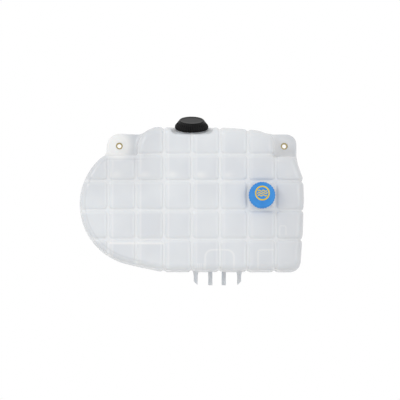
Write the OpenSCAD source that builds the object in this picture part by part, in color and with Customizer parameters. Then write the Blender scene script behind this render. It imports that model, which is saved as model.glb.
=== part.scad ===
// Coolant expansion tank: two quilted half shells welded face to face, a filler neck with a
// screw cap, a pressure cap with its valves, fixing lugs with bushes, and a level sensor.
// The front faces -Y, +X is to the right and +Z is up. The origin is midway between the bushes.

/* [Tank body] */
// Depth of each half shell, from the weld plane to its quilted face
shell_depth = 88; // [75:1:105]
// Wall thickness of the half shells
wall = 3.2; // [2.5:0.1:4]
// Radius of the round left end
round_end_r = 174; // [168:1:180]
// Height of the round end's centre
round_end_z = -165; // [-170:1:-160]
// Left to right place of the round end's centre
round_end_x = -171.5; // [-180:0.5:-165]
// Height of the body's flat underside
bottom_z = -356.5; // [-365:0.5:-350]
// Furthest right point of the body
right_x = 288.5; // [284:0.5:295]
// Height of the top of the arch
top_z = 52.5; // [50:0.5:58]
// Radius of the edge between the sides and the quilted face
edge_r = 20; // [14:1:24]
// How far the sides lean in from the weld plane to the face
draft = 2; // [1:0.5:4]

/* [Quilting] */
// Distance between the upright quilt lines
column_pitch = 78.8; // [77:0.2:80]
// Place of the first upright quilt line
first_column_x = -266.4; // [-270:0.2:-263]
// Height of the highest level quilt line
first_row_z = -27; // [-30:0.5:-24]
// Distance from the highest level line to the next
first_row_pitch = 75; // [72:0.5:78]
// Distance between the other level lines
row_pitch = 82.5; // [80:0.5:85]
// Width of the flat land along each quilt line
land = 8; // [5:0.5:10]
// Depth of the lines below the pads
groove = 4.5; // [4.5:0.5:7]
// Width of the rolled border of each pad
pad_edge = 9; // [6:0.5:12]
// Rise of each pad's middle over its border
crown = 1.5; // [0.5:0.1:2.5]
// Thickness of the inner baffle walls
baffle_t = 3; // [2:0.2:4]
// Radius of the ports through the baffles
port_r = 17; // [10:1:24]

/* [Fixing lugs] */
// Distance between the two bush centres
bush_span = 468.2; // [464:0.2:472]
// Thickness of each lug, both halves together
lug_t = 20; // [14:1:26]
// Radius of the rounded left lug
left_lug_r = 34; // [28:1:36]
// Corner radius of the right lug
right_lug_r = 28; // [22:1:32]
// Outer radius of the bushes
bush_r = 9; // [8:0.5:11]
// Radius of the bolt hole in the bushes
bush_bore_r = 6; // [4:0.5:6.5]
// How far each bush stands out of its lug
bush_proud = 1; // [0.5:0.5:2]

/* [Filler neck and cap] */
// Lean of the filler neck towards the front, in degrees
filler_tilt = 21; // [15:1:25]
// Height of the lower edge of the filler cap at its axis
filler_z = 50; // [48:0.5:54]
// Outer radius of the filler neck
filler_neck_r = 36; // [33:0.5:37]
// Radius of the filler bore
filler_bore_r = 29; // [24:0.5:30]
// Outer radius of the filler cap at its lower edge
filler_cap_r = 47.5; // [45:0.5:49]
// Outer radius of the filler cap at its top
filler_cap_top_r = 35; // [31:0.5:38]
// Height of the filler cap
filler_cap_h = 23; // [20:0.5:28]
// Number of grip flutes round the filler cap
filler_flutes = 36; // [24:1:48]

/* [Pressure neck and cap] */
// Outer radius of the pressure neck
pressure_neck_r = 30; // [29:0.5:31]
// Radius of the pressure neck's bore
pressure_bore_r = 25; // [24:0.5:26]
// Outer radius of the pressure cap
pressure_cap_r = 38; // [36:0.5:40]
// Height of the pressure cap
pressure_cap_h = 22; // [20:0.5:26]
// Number of grip flutes round the pressure cap
pressure_flutes = 30; // [20:1:40]
// Radius of the pressure valve's spring
valve_spring_r = 14; // [12:0.5:15]
// Wire thickness of the pressure valve's spring
valve_wire_d = 2.2; // [1.8:0.1:2.6]
// Lift of the pressure valve off its seat
valve_lift = 3; // [2:0.5:4]
// Travel of the vacuum valve off its seat
vacuum_travel = 1.5; // [1:0.1:2]

/* [Hose connections] */
// Radius of the two vent nipples
vent_r = 6; // [5:0.5:7]
// Radius of the bore of the vent nipples
vent_bore_r = 4; // [3:0.5:4.5]
// Distance between the vent nipples
vent_pitch = 38.4; // [36:0.2:42]
// Height of the lower ends of the nipples and prongs
finger_end_z = -393; // [-400:1:-385]
// Distance between the two locating prongs
prong_pitch = 123.7; // [120:0.1:126]
// Outer radius of the outlet stub
outlet_r = 19; // [16:0.5:22]
// Radius of the outlet's bore
outlet_bore_r = 15.5; // [12:0.5:15.5]
// How far the outlet stub stands out of the rear face
outlet_l = 42; // [36:1:50]

/* [Level sensor] */
// Radius of the sensor's rod
rod_r = 5; // [4:0.5:6]
// Length of the sensor's rod above its seat
rod_l = 92; // [80:1:110]
// Radius of the float
float_r = 14; // [12:0.5:16]
// Height of the float
float_h = 24; // [18:1:30]
// Travel of the float along its rod
float_travel = 30; // [20:1:36]

/* [Clearances] */
// Gap round each piece that is welded or pressed into a hole
weld_gap = 0.1; // [0.05:0.05:0.2]
// Gap round pieces that slide or turn
running_gap = 0.4; // [0.3:0.1:0.6]

/* [Hidden] */

plastic = [0.90, 0.91, 0.92];
black_plastic = [0.13, 0.13, 0.14];
blue_plastic = [0.30, 0.60, 0.86];
rubber = [0.10, 0.10, 0.10];
brass = [0.80, 0.68, 0.38];
steel = [0.74, 0.75, 0.77];
white_plastic = [0.93, 0.93, 0.90];
grey_plastic = [0.35, 0.36, 0.38];

far = 450;
round_disc_r = 40;
face_z = shell_depth + crown;
column_x = [for (i = [0:6]) first_column_x + i * column_pitch];
row_z = [for (i = [0:3]) first_row_z - (i == 0 ? 0 : first_row_pitch + (i - 1) * row_pitch)];

// Rounded stretches of the outline, and how far they stand in from its extremes
under_r = 100;
under_run = 71.5;
under_x = round_end_x + under_run;
foot_r = 29.5;
foot_set_in = 9;
side_r = 30;
side_bow = 2.5;
side_drop = 125;
side_middle_z = first_row_z - side_drop;
side_reach = [73, -52];
shoulder_r = 23;
shoulder_set_in = 20.5;
arch_left_r = 62;
arch_top_r = 40;
arch_right_r = 35;
arch_corner_r = 28;
arch_foot = 93;
arch_foot_z = first_row_z - arch_foot;
arch_left_x = column_x[1] + land / 2 - 1.3;
arch_right_x = column_x[6] - 0.6;
arch_falls = [4.5, 9, 18.5];
arch_bends = [-28, 22];

// Height of the top row of ports over the first row line
top_port_rise = 28;

// Discs that the body's outline runs round: x, z and radius of each
round_top_angle = 180 - asin((first_row_z - round_disc_r - round_end_z) / (round_end_r - round_disc_r));
round_step = (270 - round_top_angle) / 10;
lower_discs = concat(
    [for (i = [0:10]) let (a = round_top_angle + i * round_step)
        [round_end_x + (round_end_r - round_disc_r) * cos(a),
         round_end_z + (round_end_r - round_disc_r) * sin(a), round_disc_r]],
    [[under_x, bottom_z + under_r, under_r],
     [right_x - foot_set_in - foot_r, bottom_z + foot_r, foot_r],
     [right_x - side_bow - side_r, side_middle_z - side_reach[0], side_r],
     [right_x - side_r, side_middle_z, side_r],
     [right_x - side_bow - side_r, side_middle_z - side_reach[1], side_r],
     [right_x - shoulder_set_in - shoulder_r, first_row_z - shoulder_r, shoulder_r]]
);
upper_discs = [
    [arch_left_x + arch_left_r, top_z - arch_left_r, arch_left_r],
    [column_x[3] + arch_top_r, top_z - arch_top_r, arch_top_r],
    [column_x[5] + arch_bends[0], top_z - arch_falls[0] - arch_top_r, arch_top_r],
    [column_x[5] + arch_bends[1], top_z - arch_falls[1] - arch_right_r, arch_right_r],
    [arch_right_x - arch_corner_r, top_z - arch_falls[2] - arch_corner_r, arch_corner_r],
    [arch_right_x - arch_corner_r, arch_foot_z, arch_corner_r],
    [arch_left_x + arch_left_r, arch_foot_z, arch_left_r]
];

// Lugs: how far they reach past the bush, up and down
lug_reach = 34;
lug_top_z = 33;
lug_root = 40;
lug_root_z = first_row_z - lug_root;
lug_root_w = 60;
lug_toe_out = 100;
lug_toe_drop = 20;
lug_toe_w = 40;
lug_toe_h = 10;
right_lug_foot_h = 36;

// Filler: the seat is square to the leaning axis, open to the front, with sloping sides
filler_y = -shell_depth / 2;
seat_drop = 4;
seat_flare = 24;
cap_foot_gap = 1;
neck_flange_t = seat_drop - cap_foot_gap;
neck_flange_r = filler_neck_r + 5;
neck_tail_r = filler_neck_r - 2;
seat_r = filler_cap_r + 3;
neck_tail = 26;
neck_boss_h = 40;
neck_top = filler_cap_h - 6.5;
seal_t = 2.5;
seal_r = filler_neck_r - 1.7;
cap_room = 2.5;
cap_skin = 3.4;
seat_gap = 0.3;
touch_gap = 0.05;
ring_gap = 0.1;

// Pressure neck: on the middle of the third row in the seventh column
pressure_x = (column_x[5] + column_x[6]) / 2;
pressure_z = (row_z[1] + row_z[2]) / 2;
boss_r = pressure_neck_r + 6;
boss_top = face_z + 1;
pressure_flange_r = pressure_neck_r + 4;
pressure_flange_t = 2.5;
pressure_neck_tail = 34;
pressure_cap_z = boss_top + pressure_flange_t + 1.5;
housing_rim_t = 2.6;
pressure_neck_top = pressure_cap_z + pressure_cap_h - cap_skin - seat_gap - housing_rim_t - touch_gap;

// Valve housing inside the pressure neck
housing_r = pressure_bore_r - running_gap;
housing_wall = 3.6;
housing_foot = pressure_neck_top - 52;
valve_seat_t = 3;
valve_seat_r = 10;
valve_r = housing_r - housing_wall - 2;
valve_t = 3;
valve_seal_t = 1.6;
valve_base = housing_foot + valve_seat_t;
cover_t = 3;
cover_z = pressure_neck_top - 6;
cover_vent_r = 2.5;
vent_ring_r = 9;
o_ring_d = 2.6;
o_ring_z = housing_foot + 26;
o_ring_r = housing_r + running_gap - ring_gap - o_ring_d / 2;
stem_r = 2;
vacuum_head_r = 6;
vacuum_head_t = 2;
vacuum_seal_t = 1;
keeper_z = valve_base + valve_seal_t + valve_t + 7;
keeper_t = 1.6;
keeper_r = 5;
spring_seat_z = valve_base + valve_seal_t + valve_t;

// Recesses in the underside of the rear shell
pocket_depth = 48;
pocket_front = shell_depth - pocket_depth;
pocket_top_z = -291;
vent_pocket_x = [13, 94];
sensor_pocket_x = [162, column_x[6] - land / 2 - 1.5];
vent_corner_r = 20;
sensor_corner_r = 8;
vent_x = 45.3;
vent_root_r = vent_r - 0.6;
vent_shoulder_z = pocket_top_z - 6;
pocket_y = shell_depth - pocket_depth / 2;
prong_t = 8;
prong_y = pocket_front - 2 * prong_t;
sensor_x = (sensor_pocket_x[0] + sensor_pocket_x[1]) / 2;

// Outlet: in the middle of the lowest pad of the fourth column
outlet_x = (column_x[2] + column_x[3]) / 2;
outlet_z = (row_z[3] + bottom_z) / 2;
outlet_flange_r = outlet_r + 7;
outlet_flange_t = 4;

float_rest_z = pocket_top_z + wall + 6;

// Level sensor: a hexagon outside the seat, and the socket for its plug below
sensor_hex_r = 14;
sensor_hex_t = 5;
plug_size = [18, 12, 22];
plug_z = pocket_top_z - 2 * plug_size[2];
clip_drop = 6;
clip_t = 1;
clip_bite = 0.8;

// Section of one pad across a column or a row, from the weld plane up to its crowned face.
// The inside of the pad is drawn more coarsely and flat.
function pad_section(a, b, inset) = let (
    low = shell_depth - inset - groove,
    third = (b - a - 2 * pad_edge) / 3,
    turn = inset > 0 ? 90 : 30,
    rise = inset > 0 ? 0 : crown
) concat(
    [[a, -1]],
    [for (t = [0:turn:90]) [a + pad_edge * (1 - cos(t)), low + groove * sin(t)]],
    rise > 0 ? [for (x = [a + pad_edge + third, b - pad_edge - third]) [x, low + groove + rise]] : [],
    [for (t = [90:-turn:0]) [b - pad_edge * (1 - cos(t)), low + groove * sin(t)]],
    [[b, -1]]
);

// Solid form inside a set of discs, with leaning sides and a rounded front edge
module rounded_form(discs, inset) {
    steps = inset < wall ? 3 : 2;
    sides = inset < wall ? 28 : 20;
    top = face_z - inset;
    hull() {
        for (d = discs) {
            translate([d[0], d[1], -1]) cylinder(r = d[2] - inset, h = 1, $fn = sides);
            for (k = [0:steps]) {
                lean = inset + draft + edge_r * (1 - cos(90 * k / steps));
                depth = top - edge_r + edge_r * sin(90 * k / steps);
                translate([d[0], d[1], depth - 0.5])
                    cylinder(r = max(d[2] - lean, 0.5), h = 0.5, $fn = sides);
            }
        }
    }
}

module body_form(inset) {
    rounded_form(lower_discs, inset);
    rounded_form(upper_discs, inset);
}

// Upright bands between the column lines
module columns(inset) {
    edges = concat([-far], column_x, [far]);
    gap = land / 2 + inset;
    translate([0, far, 0]) rotate([90, 0, 0]) linear_extrude(height = 2 * far) {
        for (i = [0:7]) {
            polygon(pad_section(edges[i] + gap, edges[i + 1] - gap, inset));
        }
    }
}

// Level bands between the row lines
module rows(inset) {
    edges = concat([-far], [for (i = [3:-1:0]) row_z[i]], [far]);
    gap = land / 2 + inset;
    translate([-far, 0, 0]) rotate([90, 0, 90]) linear_extrude(height = 2 * far) {
        for (i = [0:4]) {
            polygon(pad_section(edges[i] + gap, edges[i + 1] - gap, inset));
        }
    }
}

module quilted_form(inset) {
    body_form(groove + inset);
    intersection() {
        body_form(inset);
        columns(inset);
        rows(inset);
    }
}

module baffles() {
    for (x = column_x) {
        translate([x - baffle_t / 2, -far, -2]) cube([baffle_t, 2 * far, 2 * shell_depth]);
    }
}

// Round ports that join the columns, one for each row
module ports() {
    middles = [
        first_row_z + top_port_rise,
        (row_z[0] + row_z[1]) / 2,
        (row_z[1] + row_z[2]) / 2,
        (row_z[2] + row_z[3]) / 2,
        (row_z[3] + bottom_z) / 2
    ];
    for (z = middles) {
        translate([-far, z, 0]) rotate([0, 90, 0]) cylinder(r = port_r, h = 2 * far, $fn = 14);
    }
}

module cavity() {
    difference() {
        quilted_form(wall);
        baffles();
    }
    intersection() {
        body_form(groove + wall);
        ports();
    }
}

// Half thickness of both lugs
module lugs() {
    half = lug_t / 2;
    right_edge = bush_span / 2 + lug_reach;
    root_x = column_x[6] - lug_root;
    hull() {
        translate([-bush_span / 2, 0, 0]) cylinder(r = left_lug_r, h = half, $fn = 40);
        translate([round_end_x - lug_root_w / 2, lug_root_z, 0])
            cube([lug_root_w, lug_top_z - lug_root_z, half]);
        translate([round_end_x - lug_toe_out, first_row_z - lug_toe_drop, 0])
            cube([lug_toe_w, lug_toe_h, half]);
    }
    hull() {
        translate([right_edge - right_lug_r, lug_top_z - right_lug_r, 0])
            cylinder(r = right_lug_r, h = half, $fn = 32);
        translate([root_x, lug_root_z, 0]) cube([right_edge - root_x, right_lug_foot_h, half]);
        translate([root_x, 0, 0]) cube([lug_root, lug_top_z, half]);
    }
}

// Room for both bushes in one half shell
module bush_holes() {
    for (side = [-1, 1]) {
        translate([side * bush_span / 2, 0, -1])
            cylinder(r = bush_r + weld_gap, h = lug_t / 2 + bush_proud + 2, $fn = 32);
    }
}

// Outside and inside of one half, before what is special to the front or the rear
module half_outside() {
    quilted_form(0);
    lugs();
}

module below_weld_plane() {
    translate([-far, -far, -far]) cube([2 * far, 2 * far, far]);
}

// Puts a shape that is drawn on the weld plane, facing up, on the front of the tank
module face_front() {
    rotate([90, 0, 0]) children();
}

module face_rear() {
    mirror([0, 1, 0]) rotate([90, 0, 0]) children();
}

// Puts a shape on the leaning axis of the filler neck
module on_filler() {
    translate([column_x[3], filler_y, filler_z]) rotate([filler_tilt, 0, 0]) children();
}

module on_pressure_neck() {
    translate([pressure_x, 0, pressure_z]) rotate([90, 0, 0]) children();
}

module ring(outer, inner, low, high, sides = 96) {
    translate([0, 0, low]) difference() {
        cylinder(r = outer, h = high - low, $fn = sides);
        translate([0, 0, -1]) cylinder(r = inner, h = high - low + 2, $fn = sides);
    }
}

// Space cleared round the filler cap, widening upwards and running out at the front
module filler_seat(grow) {
    translate([0, 0, -seat_drop - grow]) hull() {
        for (y = [0, -shell_depth]) {
            translate([0, y, 0])
                cylinder(r1 = seat_r + grow, r2 = seat_r + grow + seat_flare, h = seat_flare, $fn = 48);
        }
    }
}

module front_shell() {
    color(plastic) difference() {
        union() {
            difference() {
                face_front() half_outside();
                on_filler() filler_seat(0);
            }
            intersection() {
                on_filler() translate([0, 0, -seat_drop - neck_boss_h])
                    cylinder(r = neck_flange_r, h = neck_boss_h, $fn = 48);
                face_front() translate([-far, first_row_z - seat_r, 0]) cube([2 * far, far, far]);
            }
            on_pressure_neck() translate([0, 0, shell_depth / 2])
                cylinder(r = boss_r, h = boss_top - shell_depth / 2, $fn = 48);
        }
        face_front() difference() {
            cavity();
            rotate([-90, 0, 0]) on_filler() filler_seat(wall);
        }
        face_front() below_weld_plane();
        face_front() bush_holes();
        on_filler() translate([0, 0, -seat_drop - 2 * neck_boss_h])
            cylinder(r = neck_tail_r + weld_gap, h = 2 * neck_boss_h + seat_drop, $fn = 48);
        on_pressure_neck() translate([0, 0, 10])
            cylinder(r = pressure_neck_r + weld_gap, h = face_z, $fn = 48);
    }
}

// Arched recess in the underside of the rear shell, open below and behind
module pocket(sides, corner_r, grow) {
    translate([0, 0, pocket_front - grow]) hull() {
        for (x = [sides[0] + corner_r, sides[1] - corner_r]) {
            translate([x, pocket_top_z - corner_r, 0]) cylinder(r = corner_r + grow, h = far, $fn = 24);
        }
        translate([sides[0] - grow, bottom_z - 30, 0]) cube([sides[1] - sides[0] + 2 * grow, 1, far]);
    }
}

// Blade that locates the tank on its bracket, with its end cut on the slant
module prong(side) {
    width = 11;
    root = 15;
    slant = 10;
    top = bottom_z + 12;
    translate([vent_x + side * prong_pitch / 2, 0, prong_y]) linear_extrude(height = prong_t)
        polygon([
            [-root / 2, top], [root / 2, top], [root / 2, bottom_z], [width / 2, bottom_z - 8],
            [width / 2, finger_end_z + (side > 0 ? slant : 0)],
            [-width / 2, finger_end_z + (side > 0 ? 0 : slant)],
            [-width / 2, bottom_z - 8], [-root / 2, bottom_z]
        ]);
}

module rear_shell() {
    color(plastic) difference() {
        face_rear() union() {
            difference() {
                half_outside();
                pocket(vent_pocket_x, vent_corner_r, 0);
                pocket(sensor_pocket_x, sensor_corner_r, 0);
            }
            prong(-1);
            prong(1);
            translate([outlet_x, outlet_z, shell_depth / 2])
                cylinder(r = outlet_flange_r + 2, h = boss_top - shell_depth / 2, $fn = 48);
        }
        face_rear() difference() {
            cavity();
            pocket(vent_pocket_x, vent_corner_r, wall);
            pocket(sensor_pocket_x, sensor_corner_r, wall);
        }
        face_rear() below_weld_plane();
        face_rear() bush_holes();
        translate([outlet_x, 10, outlet_z]) rotate([-90, 0, 0])
            cylinder(r = outlet_r + weld_gap, h = face_z, $fn = 48);
        for (side = [-1, 1]) {
            translate([vent_x + side * vent_pitch / 2, pocket_y, pocket_top_z - vent_corner_r])
                cylinder(r = vent_root_r + weld_gap, h = vent_corner_r + 12, $fn = 32);
        }
        translate([sensor_x, pocket_y, pocket_top_z - 1])
            cylinder(r = rod_r + 3 + weld_gap, h = 12, $fn = 32);
    }
}

module filler_neck() {
    color(plastic) on_filler() difference() {
        union() {
            translate([0, 0, -seat_drop - neck_tail]) cylinder(r = neck_tail_r, h = neck_tail + 1, $fn = 96);
            translate([0, 0, -seat_drop]) cylinder(r = neck_flange_r, h = neck_flange_t, $fn = 96);
            translate([0, 0, -seat_drop]) cylinder(r = filler_neck_r, h = neck_top + seat_drop, $fn = 96);
        }
        translate([0, 0, -seat_drop - neck_tail - 1])
            cylinder(r = filler_bore_r, h = neck_top + seat_drop + neck_tail + 2, $fn = 96);
    }
}

module pressure_neck() {
    low = boss_top - pressure_neck_tail;
    color(plastic) on_pressure_neck() difference() {
        union() {
            translate([0, 0, low])
                cylinder(r = pressure_neck_r, h = pressure_neck_top - low, $fn = 96);
            translate([0, 0, boss_top]) cylinder(r = pressure_flange_r, h = pressure_flange_t, $fn = 96);
        }
        translate([0, 0, low - 1]) cylinder(r = pressure_bore_r, h = far, $fn = 96);
    }
}

module bush(side) {
    half = lug_t / 2 + bush_proud;
    color(brass) translate([side * bush_span / 2, 0, 0]) rotate([90, 0, 0])
        ring(bush_r, bush_bore_r, -half, half, 64);
}

module left_bush() {
    bush(-1);
}

module right_bush() {
    bush(1);
}

// Outline with evenly spaced rounded flutes
function fluted(radius, depth, flutes, steps = 4) = [
    for (i = [0:flutes * steps - 1])
        let (a = 360 * i / (flutes * steps), r = radius - depth * (1 - cos(flutes * a)) / 2)
            [r * cos(a), r * sin(a)]
];

module filler_cap() {
    skirt_h = 4;
    flute = 1.4;
    color(black_plastic) on_filler() difference() {
        union() {
            cylinder(r = filler_cap_r, h = skirt_h, $fn = 96);
            translate([0, 0, skirt_h]) linear_extrude(
                height = filler_cap_h - skirt_h - 2, scale = (filler_cap_top_r + 1) / (filler_cap_r - 0.8)
            ) polygon(fluted(filler_cap_r - 0.8, flute, filler_flutes));
            translate([0, 0, filler_cap_h - 6]) cylinder(r = filler_cap_top_r, h = 6, $fn = 96);
        }
        translate([0, 0, -1]) cylinder(r = filler_neck_r + cap_room, h = 1 + neck_top + touch_gap, $fn = 96);
        translate([0, 0, -1]) cylinder(r = seal_r + 2 * ring_gap, h = 1 + neck_top + seal_t, $fn = 96);
        translate([0, 0, filler_cap_h - 1]) cylinder(r = filler_cap_top_r - 3, h = 2, $fn = 96);
    }
}

module filler_cap_seal() {
    color(rubber) on_filler()
        ring(seal_r, filler_bore_r - 1, neck_top + touch_gap, neck_top + seal_t - touch_gap);
}

module pressure_cap() {
    chamfer = 3;
    rim_w = 9;
    top_r = pressure_cap_r - 1.5;
    color(blue_plastic) on_pressure_neck() translate([0, 0, pressure_cap_z]) difference() {
        union() {
            linear_extrude(height = pressure_cap_h - chamfer)
                polygon(fluted(pressure_cap_r, 1, pressure_flutes));
            translate([0, 0, pressure_cap_h - chamfer])
                cylinder(r1 = top_r, r2 = top_r - chamfer, h = chamfer, $fn = 96);
        }
        translate([0, 0, -1])
            cylinder(r = pressure_neck_r + cap_room, h = pressure_cap_h - cap_skin + 1, $fn = 96);
        translate([0, 0, pressure_cap_h - 0.8]) cylinder(r = pressure_cap_r - rim_w, h = 1, $fn = 96);
    }
}

module valve_housing() {
    rim_r = pressure_neck_r - 0.5;
    groove_floor_r = o_ring_r - o_ring_d / 2 - ring_gap;
    groove_half = o_ring_d / 2 + 2 * ring_gap;
    color(grey_plastic) on_pressure_neck() difference() {
        union() {
            translate([0, 0, housing_foot])
                cylinder(r = housing_r, h = pressure_neck_top + 1 - housing_foot, $fn = 96);
            translate([0, 0, pressure_neck_top + touch_gap]) cylinder(r = rim_r, h = housing_rim_t, $fn = 96);
        }
        translate([0, 0, valve_base]) cylinder(r = housing_r - housing_wall, h = far, $fn = 96);
        translate([0, 0, housing_foot - 1]) cylinder(r = valve_seat_r, h = valve_seat_t + 2, $fn = 64);
        ring(housing_r + 1, groove_floor_r, o_ring_z - groove_half, o_ring_z + groove_half);
    }
}

module housing_o_ring() {
    color(rubber) on_pressure_neck() translate([0, 0, o_ring_z])
        rotate_extrude($fn = 96) translate([o_ring_r, 0]) circle(d = o_ring_d, $fn = 24);
}

module valve_housing_cover() {
    color(grey_plastic) on_pressure_neck() difference() {
        translate([0, 0, cover_z]) cylinder(r = housing_r - housing_wall - ring_gap, h = cover_t, $fn = 96);
        for (a = [0:60:300]) {
            rotate([0, 0, a]) translate([vent_ring_r, 0, cover_z - 1])
                cylinder(r = cover_vent_r, h = cover_t + 2, $fn = 24);
        }
    }
}

module pressure_valve_seal() {
    color(rubber) on_pressure_neck()
        ring(valve_seat_r + 3, valve_seat_r - 1.5, valve_base + touch_gap, valve_base + valve_seal_t);
}

module pressure_valve() {
    low = valve_base + valve_seal_t;
    color(steel) on_pressure_neck() difference() {
        union() {
            translate([0, 0, low]) cylinder(r = valve_r, h = valve_t, $fn = 96);
            translate([0, 0, low])
                cylinder(r = valve_spring_r - valve_wire_d - 1, h = valve_t + 1.5, $fn = 64);
        }
        translate([0, 0, low - 1]) cylinder(r = stem_r + running_gap, h = valve_t + 5, $fn = 32);
        translate([0, 0, low + valve_t]) cylinder(r = keeper_r + 1, h = 5, $fn = 48);
        for (a = [0:120:240]) {
            rotate([0, 0, a]) translate([4, 0, low - 1]) cylinder(r = 0.8, h = valve_t + 3, $fn = 24);
        }
    }
}

// Round wire wound from one height to another
module coil(radius, wire, low, high, turns, per_turn = 14, sides = 6) {
    count = turns * per_turn;
    rise = high - low - wire;
    rings = [for (i = [0:count]) let (a = 360 * i / per_turn, z = low + wire / 2 + rise * i / count)
        [for (k = [0:sides - 1]) let (b = 360 * k / sides, r = radius - wire / 2 + wire / 2 * cos(b))
            [r * cos(a), r * sin(a), z + wire / 2 * sin(b)]]];
    points = [for (one = rings) for (p = one) p];
    skin = [for (i = [0:count - 1]) for (k = [0:sides - 1]) let (n = (k + 1) % sides)
        [i * sides + k, (i + 1) * sides + k, (i + 1) * sides + n, i * sides + n]];
    start = [for (k = [0:sides - 1]) k];
    end = [for (k = [sides - 1:-1:0]) count * sides + k];
    polyhedron(points, concat([start], skin, [end]), convexity = 8);
}

module pressure_valve_spring() {
    color(steel) on_pressure_neck()
        coil(valve_spring_r, valve_wire_d, spring_seat_z + 0.1, cover_z - 0.1, 5);
}

module vacuum_valve() {
    head_top = valve_base + valve_seal_t - vacuum_seal_t - ring_gap;
    stem_top = keeper_z + keeper_t + 1.2;
    color(brass) on_pressure_neck() {
        translate([0, 0, head_top - vacuum_head_t]) cylinder(r = vacuum_head_r, h = vacuum_head_t, $fn = 64);
        translate([0, 0, head_top - 0.5]) cylinder(r = stem_r, h = stem_top - head_top + 0.5, $fn = 32);
    }
}

module vacuum_valve_seal() {
    top = valve_base + valve_seal_t - 0.05;
    color(rubber) on_pressure_neck()
        ring(vacuum_head_r - 0.2, stem_r + 0.05, top - vacuum_seal_t, top, 64);
}

module vacuum_valve_spring() {
    color(steel) on_pressure_neck()
        coil(3.6, 0.7, spring_seat_z + 0.1, keeper_z - 0.05, 4, 12);
}

module vacuum_spring_keeper() {
    color(steel) on_pressure_neck() ring(keeper_r, stem_r + 0.02, keeper_z, keeper_z + keeper_t, 48);
}

module outlet_stub() {
    bead_r = 1.6;
    bead_z = boss_top + outlet_l - 8;
    color(plastic) translate([outlet_x, 0, outlet_z]) rotate([-90, 0, 0]) difference() {
        union() {
            translate([0, 0, boss_top - 10]) cylinder(r = outlet_r, h = outlet_l + 10, $fn = 96);
            translate([0, 0, boss_top]) cylinder(r = outlet_flange_r, h = outlet_flange_t, $fn = 96);
            translate([0, 0, bead_z]) rotate_extrude($fn = 96)
                translate([outlet_r - bead_r / 4, 0]) circle(r = bead_r, $fn = 24);
        }
        translate([0, 0, boss_top - 11]) cylinder(r = outlet_bore_r, h = outlet_l + 12, $fn = 96);
    }
}

module vent_nipples() {
    root_top = pocket_top_z + wall + 5;
    color(plastic) for (side = [-1, 1]) {
        translate([vent_x + side * vent_pitch / 2, pocket_y, 0]) difference() {
            union() {
                translate([0, 0, finger_end_z])
                    cylinder(r = vent_r, h = vent_shoulder_z - finger_end_z, $fn = 48);
                translate([0, 0, vent_shoulder_z - 1])
                    cylinder(r = vent_root_r, h = root_top - vent_shoulder_z + 1, $fn = 48);
            }
            translate([0, 0, finger_end_z - 1])
                cylinder(r = vent_bore_r, h = root_top - finger_end_z + 2, $fn = 48);
        }
    }
}

module level_sensor() {
    seat = pocket_top_z;
    collar_r = rod_r + 3;
    body_r = 8;
    body_h = 18;
    socket_wall = 2;
    color(grey_plastic) translate([sensor_x, pocket_y, 0]) difference() {
        union() {
            translate([0, 0, seat]) cylinder(r = rod_r, h = rod_l, $fn = 48);
            translate([0, 0, seat - sensor_hex_t])
                cylinder(r = collar_r, h = wall + sensor_hex_t + 5, $fn = 48);
            translate([0, 0, seat - sensor_hex_t - 2])
                cylinder(r = sensor_hex_r, h = sensor_hex_t, $fn = 6);
            translate([0, 0, seat - sensor_hex_t - 1 - body_h])
                cylinder(r = body_r, h = body_h, $fn = 48);
            translate([-plug_size[0] / 2, -plug_size[1] / 2, plug_z]) cube(plug_size);
        }
        translate([socket_wall - plug_size[0] / 2, socket_wall - plug_size[1] / 2, plug_z - 1])
            cube([plug_size[0] - 2 * socket_wall, plug_size[1] - 2 * socket_wall, plug_size[2] - 5]);
        translate([0, 0, seat + rod_l - clip_drop])
            ring(rod_r + 1, rod_r - clip_bite, 0, clip_t + 2 * ring_gap, 48);
    }
}

module sensor_seal() {
    color(rubber) translate([sensor_x, pocket_y, 0])
        ring(rod_r + 6, rod_r + 3 + ring_gap, pocket_top_z - 2 + touch_gap, pocket_top_z - touch_gap, 48);
}

module sensor_nut() {
    color(white_plastic) translate([sensor_x, pocket_y, pocket_top_z + wall + 0.05]) difference() {
        cylinder(r = rod_r + 7, h = 4, $fn = 6);
        translate([0, 0, -1]) cylinder(r = rod_r + 3.05, h = 6, $fn = 48);
    }
}

module level_float() {
    color(white_plastic) translate([sensor_x, pocket_y, 0])
        ring(float_r, rod_r + running_gap, float_rest_z, float_rest_z + float_h, 64);
}

module float_clip() {
    slot = 4;
    color(steel) translate([sensor_x, pocket_y, pocket_top_z + rod_l - clip_drop + ring_gap]) difference() {
        cylinder(r = rod_r + 3, h = clip_t, $fn = 48);
        translate([0, 0, -1]) cylinder(r = rod_r - clip_bite + ring_gap, h = clip_t + 2, $fn = 48);
        translate([0, -slot / 2, -1]) cube([rod_r + 4, slot, clip_t + 2]);
    }
}

front_shell();
rear_shell();
filler_neck();
pressure_neck();
left_bush();
right_bush();
filler_cap();
filler_cap_seal();
pressure_cap();
valve_housing();
housing_o_ring();
valve_housing_cover();
pressure_valve();
pressure_valve_seal();
pressure_valve_spring();
vacuum_valve();
vacuum_valve_seal();
vacuum_valve_spring();
vacuum_spring_keeper();
outlet_stub();
vent_nipples();
level_sensor();
sensor_seal();
sensor_nut();
level_float();
float_clip();
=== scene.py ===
import math

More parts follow.
